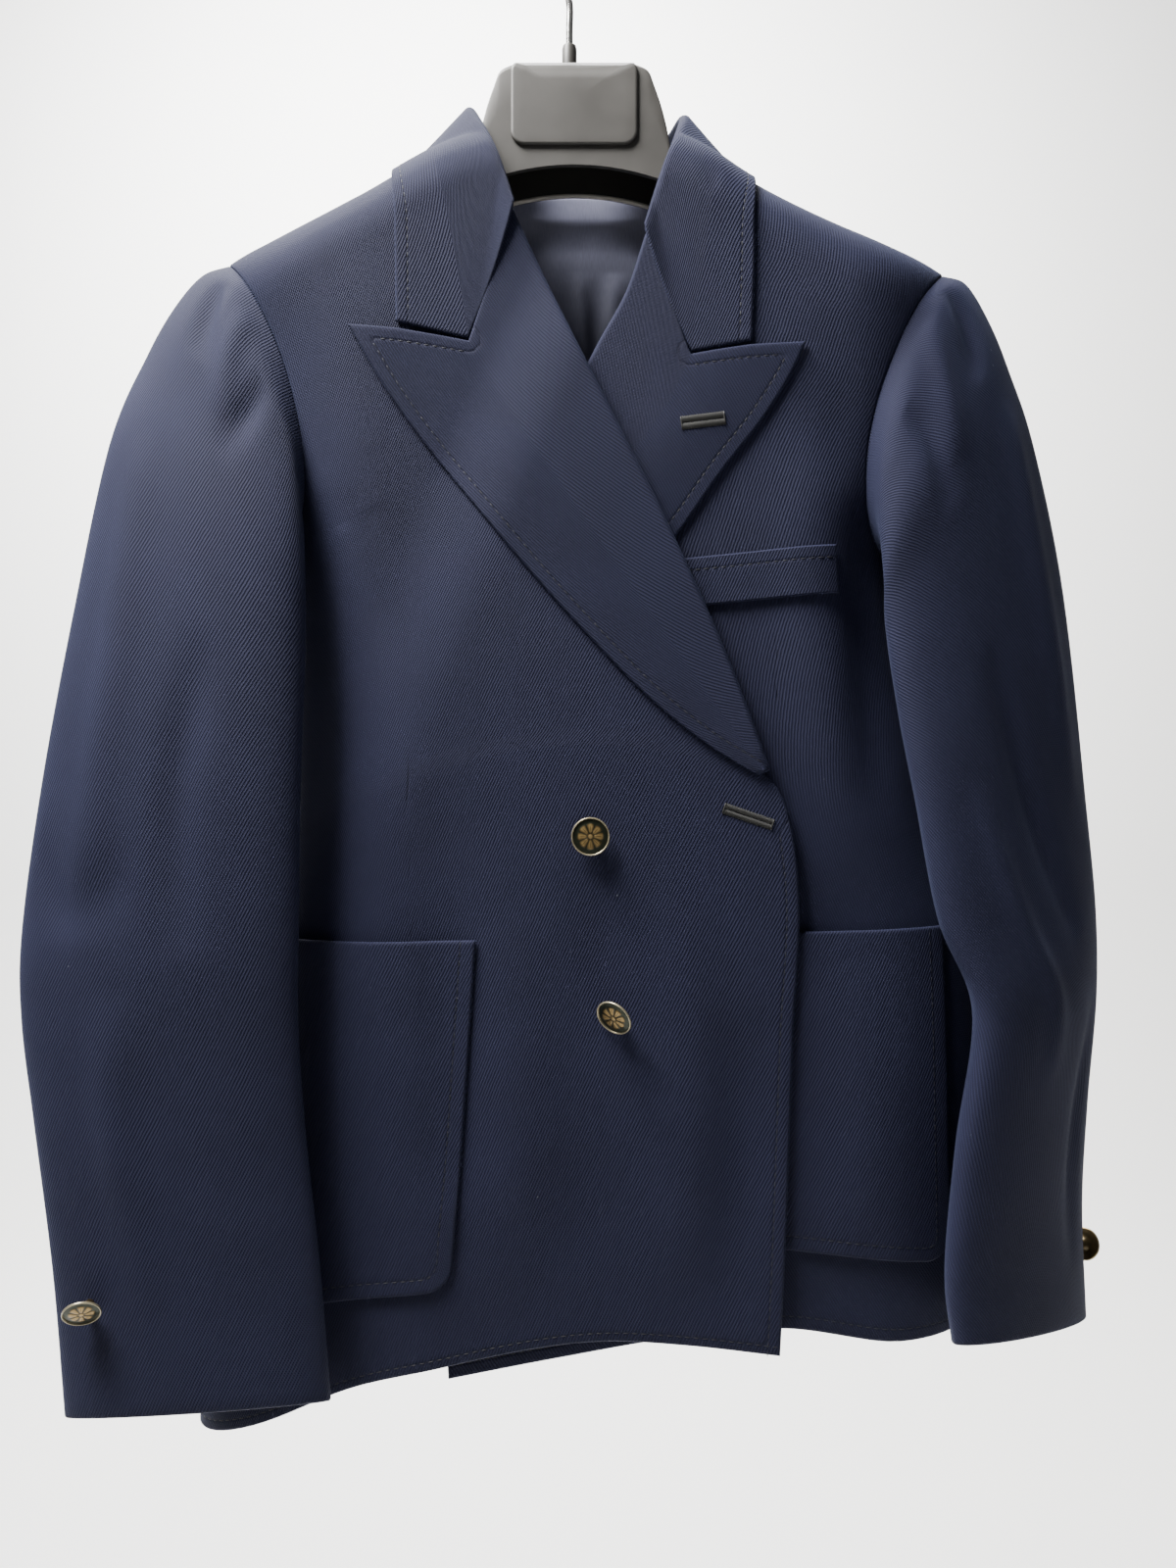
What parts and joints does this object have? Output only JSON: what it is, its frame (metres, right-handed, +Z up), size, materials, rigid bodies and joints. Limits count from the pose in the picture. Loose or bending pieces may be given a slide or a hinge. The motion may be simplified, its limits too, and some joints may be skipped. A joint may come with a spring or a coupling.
{
  "type": "double-breasted jacket on a hanger",
  "caption": "Boy's double-breasted navy twill jacket with peaked lapels, patch pockets and brass shank buttons, hanging on a moulded plastic hanger with a wire hook.",
  "frame": {"origin": "inner top of the hanger's hook, where a rail or a wall hook carries the jacket", "axes": "+Z up the hook, -Y out of the jacket's front, +X towards the wearer's left side"},
  "size_m": [0.4674, 0.1391, 0.7096],
  "materials": {
    "navy_twill": "matt wool-like twill with a faint diagonal rib",
    "lining_satin": "soft satin sheen",
    "antique_brass": "worn, darkened in the field and bright on the rim",
    "grey_plastic": "warm dark grey, slightly glossy moulding",
    "chromed_wire": "bright plated wire"
  },
  "bodies": {
    "root": {"back_panel": "navy_twill", "breast_welt": "navy_twill", "collar": "navy_twill", "cuff_button_left": "antique_brass", "cuff_button_right": "antique_brass", "front_button_lower": "antique_brass", "front_button_upper": "antique_brass", "front_left": "navy_twill", "front_right": "navy_twill", "hanger_body": "grey_plastic", "hanger_hook": "chromed_wire", "hanger_plate": "grey_plastic", "hook_ferrule": "grey_plastic", "lapel_left": "navy_twill", "lapel_right": "navy_twill", "lining_back": "lining_satin", "pocket_left": "navy_twill", "pocket_right": "navy_twill", "sleeve_left_under": "navy_twill", "sleeve_left_upper": "navy_twill", "sleeve_right_under": "navy_twill", "sleeve_right_upper": "navy_twill"}
  },
  "joints": []
}
